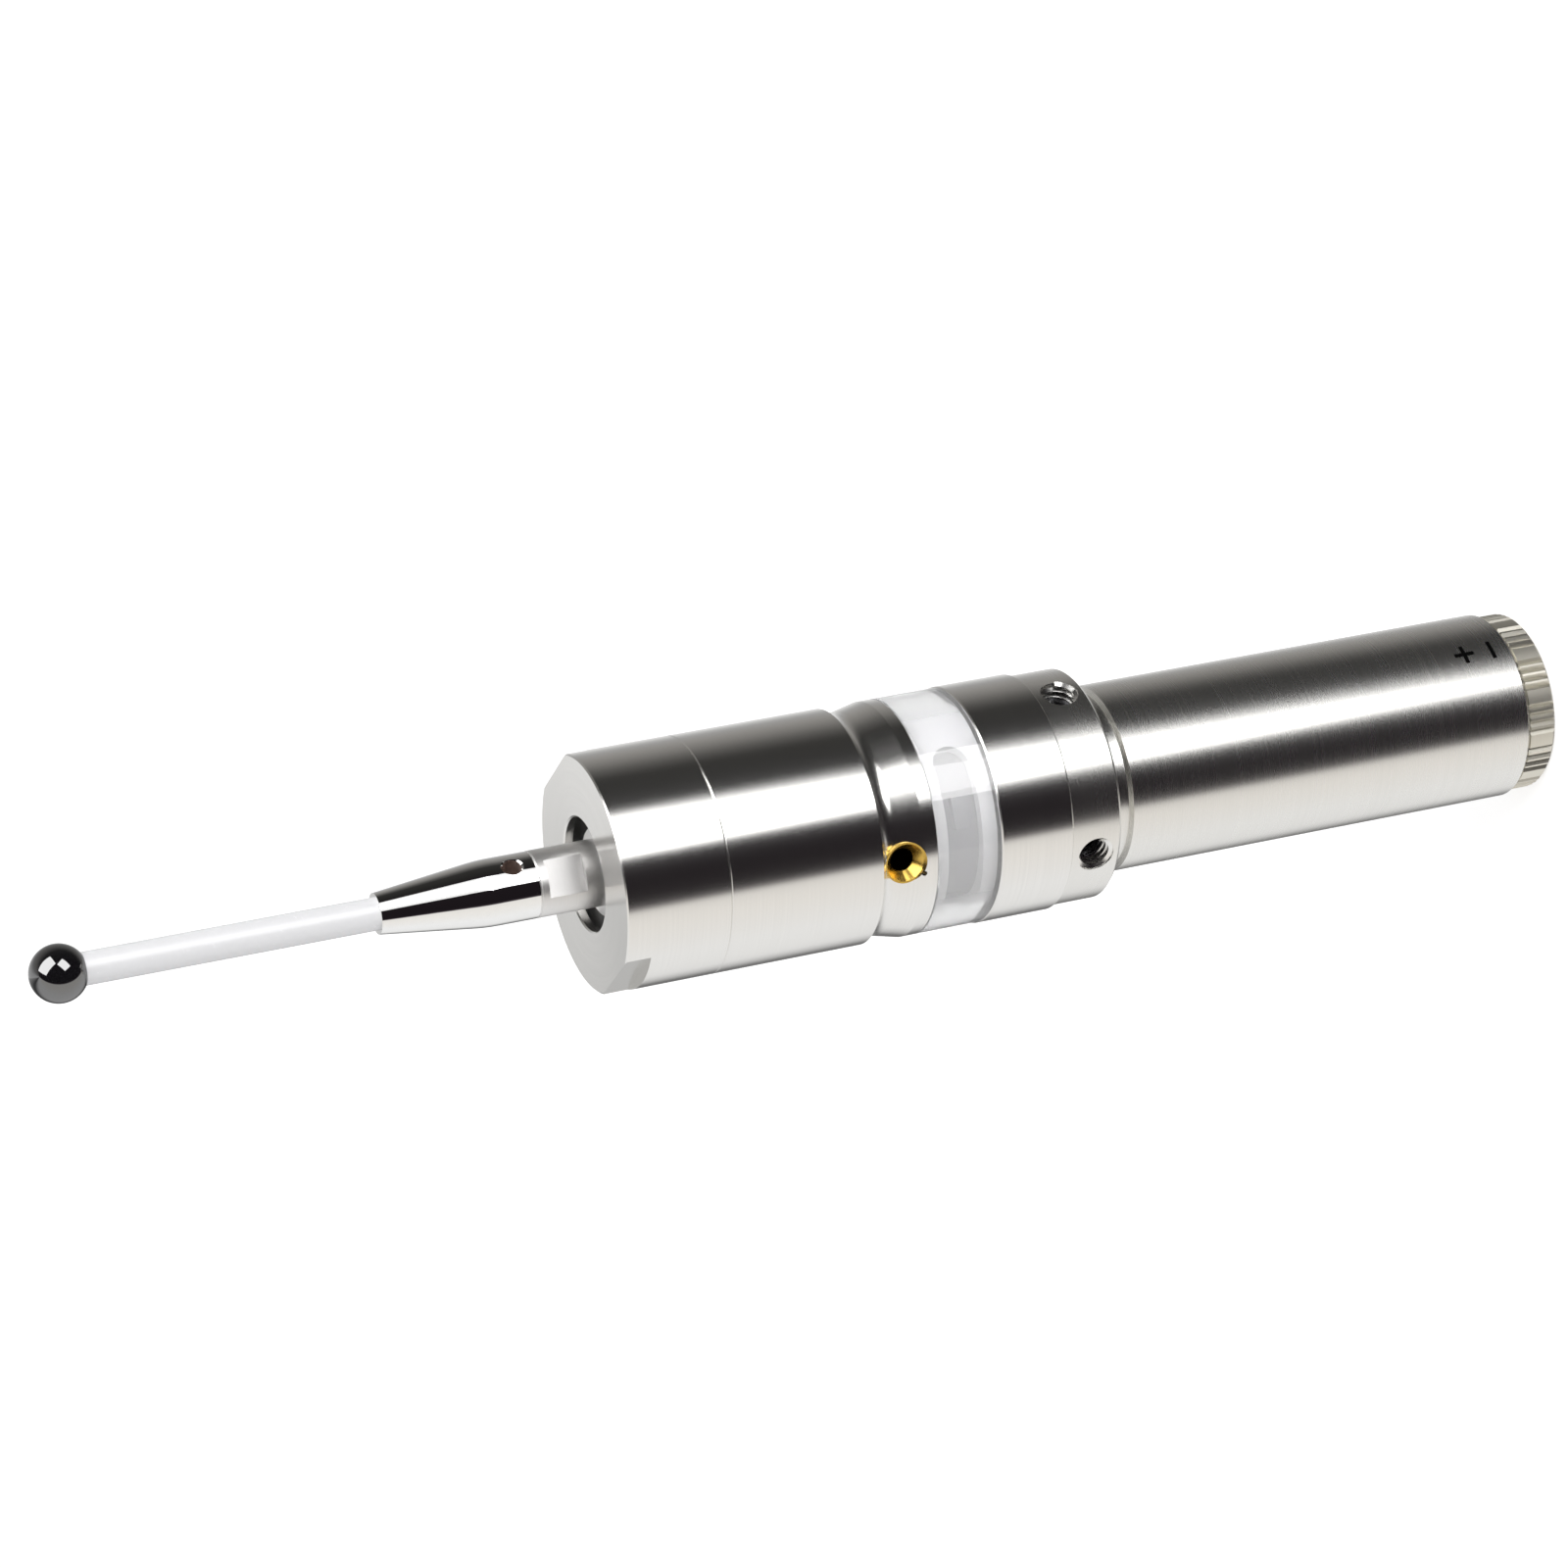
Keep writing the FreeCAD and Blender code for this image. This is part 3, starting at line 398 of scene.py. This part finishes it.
def internal_thread(name, screw):
    """A helical ridge of trapezium section, with separate strips so that its corners stay sharp."""
    low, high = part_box(screw)
    middle = (low + high) / 2
    outward = radial(azimuth_of(middle))
    sideways = Vector((-outward.y, outward.x, 0))
    up = Vector((0, 0, 1))
    height = Vector((0, 0, middle.z))
    hole = (high.z - low.z) / 2 + SCREW_CLEARANCE
    screw_end = max(vertex.co.dot(outward) for vertex in frame["nodes"][screw].data.vertices)
    start = screw_end + THREAD_INSET
    end = shank_high.x - THREAD_INSET
    count = int((end - start) / THREAD_PITCH * THREAD_STEPS)
    points = []
    faces = []
    for strip in zip(RIDGE, RIDGE[1:]):
        first = len(points)
        for step in range(count + 1):
            angle = 2 * math.pi * step / THREAD_STEPS
            along = start + THREAD_PITCH * step / THREAD_STEPS
            spoke = math.cos(angle) * sideways + math.sin(angle) * up
            for shift, inward in strip:
                point = height + outward * (along + shift) + spoke * (hole - inward)
                points.append(tuple(point))
        for step in range(count):
            corner = first + 2 * step
            faces.append((corner, corner + 1, corner + 3, corner + 2))
    piece = add_piece(name, points, faces, "body_steel")
    for face in piece.data.polygons:
        face.use_smooth = True


for number in range(1, 5):
    internal_thread("screw_thread_%d" % number, "adjusting_screw_%d" % number)

# ---- studio -------------------------------------------------------------------------------------------
# Light that metal sees round the horizon: (azimuth, brightness, tint). Azimuth 0 is the camera's side and
# +90 is -X. Between the white walls stand dark flags, which draw the dark bands on the metal.
NEUTRAL = (1.0, 1.0, 1.0)
WARM = (1.0, 0.97, 0.93)
VIOLET = (1.12, 0.86, 1.05)
STUDIO_RING = (
    (-180, 0.95, NEUTRAL),
    (-166, 0.84, NEUTRAL),
    (-156, 0.58, NEUTRAL),
    (-147, 0.38, NEUTRAL),
    (-132, 0.31, WARM),
    (-118, 0.21, WARM),
    (-106, 0.10, WARM),
    (-94, 0.03, WARM),
    (-70, 0.02, WARM),
    (-50, 0.012, VIOLET),
    (37, 0.010, VIOLET),
    (42, 0.05, VIOLET),
    (44, 0.82, WARM),
    (60, 0.86, WARM),
    (100, 0.89, NEUTRAL),
    (122, 0.86, NEUTRAL),
    (134, 0.82, NEUTRAL),
    (146, 0.50, NEUTRAL),
    (156, 0.13, NEUTRAL),
    (163, 0.11, NEUTRAL),
    (172, 0.34, NEUTRAL),
    (180, 0.60, NEUTRAL),
)
# light from all sides on matt surfaces
FILL = 0.62
# how much brighter the ring of light is for what lies behind the clear ring
RING_GAIN = 1.8

# softboxes stand LAMP_DISTANCE from TARGET
TARGET = Vector((0, 0, 0.12))
LAMP_DISTANCE = 1.2
# direction, side, tangents of the half angles
UPPER_BOX = ((0.5714, -0.3851, 0.7249), (0.6842, -0.2628, -0.6805), 0.543, 0.388)
FRONT_BOX = ((0.488, -0.8456, -0.2152), (-0.766, -0.2442, -0.5943), 0.35, 0.275)
STRIP_BOX = ((0.522, -0.853, 0.0), (0.853, 0.522, 0.0), 0.443, 2.0)

KEY_PLACE = (0.7, -0.8, 0.9)
KEY_SIZE = 1.0
KEY_POWER = 9.0

FLOOR_HALF = 3.0
FLOOR_DROP = 0.05 * MM
FLOOR_GLOW = 0.5

CAMERA_PLACE = (0.0054, -0.5146, 0.2746)
CAMERA_RIGHT = (-0.18145, -0.33971, -0.92286)
CAMERA_UP = (0.98341, -0.06268, -0.17028)
CAMERA_LENS = 121.26
CAMERA_SENSOR = 36.0
CAMERA_NEAR = 0.01


def add_object(name, data):
    item = bpy.data.objects.new(name, data)
    bpy.context.scene.collection.objects.link(item)
    return item


def axes_matrix(x_axis, y_axis, z_axis):
    return Matrix((x_axis, y_axis, z_axis)).transposed().to_4x4()


def seen_directly(tree, rays):
    """1 for what the camera sees itself or through the clear ring, and 0 for light on the object."""
    through = math_node(tree, "LESS_THAN", rays.outputs["Diffuse Depth"], 0.5)
    through = math_node(tree, "MULTIPLY", through, rays.outputs["Is Transmission Ray"])
    return math_node(tree, "MAXIMUM", rays.outputs["Is Camera Ray"], through)


def background(tree, strength=1.0):
    node = tree.nodes.new("ShaderNodeBackground")
    node.inputs["Color"].default_value = rgba(WHITE)
    node.inputs["Strength"].default_value = strength
    return node


def mix_shaders(tree, factor, first, second):
    mix = tree.nodes.new("ShaderNodeMixShader")
    tree.links.new(factor, mix.inputs[0])
    tree.links.new(first, mix.inputs[1])
    tree.links.new(second, mix.inputs[2])
    return mix.outputs[0]


def ring_colour(tree):
    """The studio's ring of light as a colour ramp over the ray's azimuth."""
    split = tree.nodes.new("ShaderNodeSeparateXYZ")
    tree.links.new(tree.nodes.new("ShaderNodeTexCoord").outputs["Generated"], split.inputs[0])
    minus_x = math_node(tree, "MULTIPLY", split.outputs["X"], -1.0)
    minus_y = math_node(tree, "MULTIPLY", split.outputs["Y"], -1.0)
    angle = math_node(tree, "ARCTAN2", minus_x, minus_y)
    turn = math_node(tree, "ADD", math_node(tree, "DIVIDE", angle, 2 * math.pi), 0.5)
    ramp = tree.nodes.new("ShaderNodeValToRGB")
    tree.links.new(turn, ramp.inputs[0])
    stops = ramp.color_ramp.elements
    while len(stops) > 1:
        stops.remove(stops[0])
    for place, (azimuth, value, tint) in enumerate(STUDIO_RING):
        position = azimuth / 360 + 0.5
        stop = stops[0] if place == 0 else stops.new(position)
        stop.position = position
        stop.color = rgba(tuple(value * channel for channel in tint))
    return ramp.outputs[0]


def build_world():
    """White for the camera, an even fill for matt surfaces, and the ring of light for the rest."""
    world = bpy.data.worlds.new("studio")
    bpy.context.scene.world = world
    world.use_nodes = True
    tree = world.node_tree
    tree.nodes.clear()
    rays = tree.nodes.new("ShaderNodeLightPath")
    ring = background(tree)
    tree.links.new(ring_colour(tree), ring.inputs["Color"])
    gain = math_node(tree, "MULTIPLY", rays.outputs["Is Transmission Ray"], RING_GAIN - 1.0)
    tree.links.new(math_node(tree, "ADD", gain, 1.0), ring.inputs["Strength"])
    fill = background(tree, FILL)
    lit = mix_shaders(tree, rays.outputs["Is Diffuse Ray"], ring.outputs[0], fill.outputs[0])
    shown = mix_shaders(tree, seen_directly(tree, rays), lit, background(tree).outputs[0])
    output = tree.nodes.new("ShaderNodeOutputWorld")
    tree.links.new(shown, output.inputs["Surface"])


def softbox(name, box, radiance, only=None):
    """A rectangular lamp that shows only in reflections, or only in those on the one node named."""
    direction, side, half_width, half_height = box
    outward = Vector(direction).normalized()
    x_axis = Vector(side)
    x_axis = (x_axis - outward * x_axis.dot(outward)).normalized()
    lamp = bpy.data.lights.new(name, "AREA")
    lamp.shape = "RECTANGLE"
    lamp.size = 2 * half_width * LAMP_DISTANCE
    lamp.size_y = 2 * half_height * LAMP_DISTANCE
    lamp.energy = radiance * math.pi * lamp.size * lamp.size_y
    item = add_object(name, lamp)
    turn = axes_matrix(x_axis, outward.cross(x_axis), outward)
    item.matrix_world = Matrix.Translation(TARGET + outward * LAMP_DISTANCE) @ turn
    item.visible_camera = False
    item.visible_diffuse = False
    if only:
        group = bpy.data.collections.new(name + "_receiver")
        group.objects.link(frame["nodes"][only])
        item.light_linking.receiver_collection = group


def key_lamp():
    """A soft lamp for the matt pieces, which glossy surfaces don't see."""
    lamp = bpy.data.lights.new("key", "AREA")
    lamp.size = KEY_SIZE
    lamp.energy = KEY_POWER
    item = add_object("key", lamp)
    item.location = KEY_PLACE
    item.rotation_euler = (TARGET - item.location).to_track_quat("-Z", "Y").to_euler()
    item.visible_camera = False
    item.visible_glossy = False


def build_floor():
    """A white sweep that the camera sees as white, with only the object's faint shadow."""
    half = FLOOR_HALF
    corners = ((-half, -half), (half, -half), (half, half), (-half, half))
    mesh = bpy.data.meshes.new("floor")
    mesh.from_pydata([(x, y, -FLOOR_DROP) for x, y in corners], [], [(0, 1, 2, 3)])
    floor = add_object("floor", mesh)
    material, tree, shader = new_material("floor_white")
    shader.inputs["Base Color"].default_value = rgba(FLOOR_WHITE)
    shader.inputs["Roughness"].default_value = 1.0
    shader.inputs["Specular IOR Level"].default_value = 0.0
    shader.inputs["Emission Color"].default_value = rgba(WHITE)
    rays = tree.nodes.new("ShaderNodeLightPath")
    glow = math_node(tree, "MULTIPLY", seen_directly(tree, rays), FLOOR_GLOW)
    tree.links.new(glow, shader.inputs["Emission Strength"])
    mesh.materials.append(material)
    floor.visible_glossy = False
    floor.visible_shadow = False


def build_camera():
    data = bpy.data.cameras.new("camera")
    data.lens = CAMERA_LENS
    data.sensor_width = CAMERA_SENSOR
    data.clip_start = CAMERA_NEAR
    camera = add_object("camera", data)
    right = Vector(CAMERA_RIGHT)
    up = Vector(CAMERA_UP)
    turn = axes_matrix(right, up, right.cross(up))
    camera.matrix_world = Matrix.Translation(CAMERA_PLACE) @ turn
    bpy.context.scene.camera = camera


build_world()
softbox("upper_softbox", UPPER_BOX, 3.8)
softbox("front_softbox", FRONT_BOX, 3.8)
softbox("strip_for_ring", STRIP_BOX, 6.0, only="light_ring")
softbox("strip_for_holder", STRIP_BOX, 0.95, only="stylus_holder")
key_lamp()
build_floor()
build_camera()
bpy.context.scene.view_settings.view_transform = "Standard"
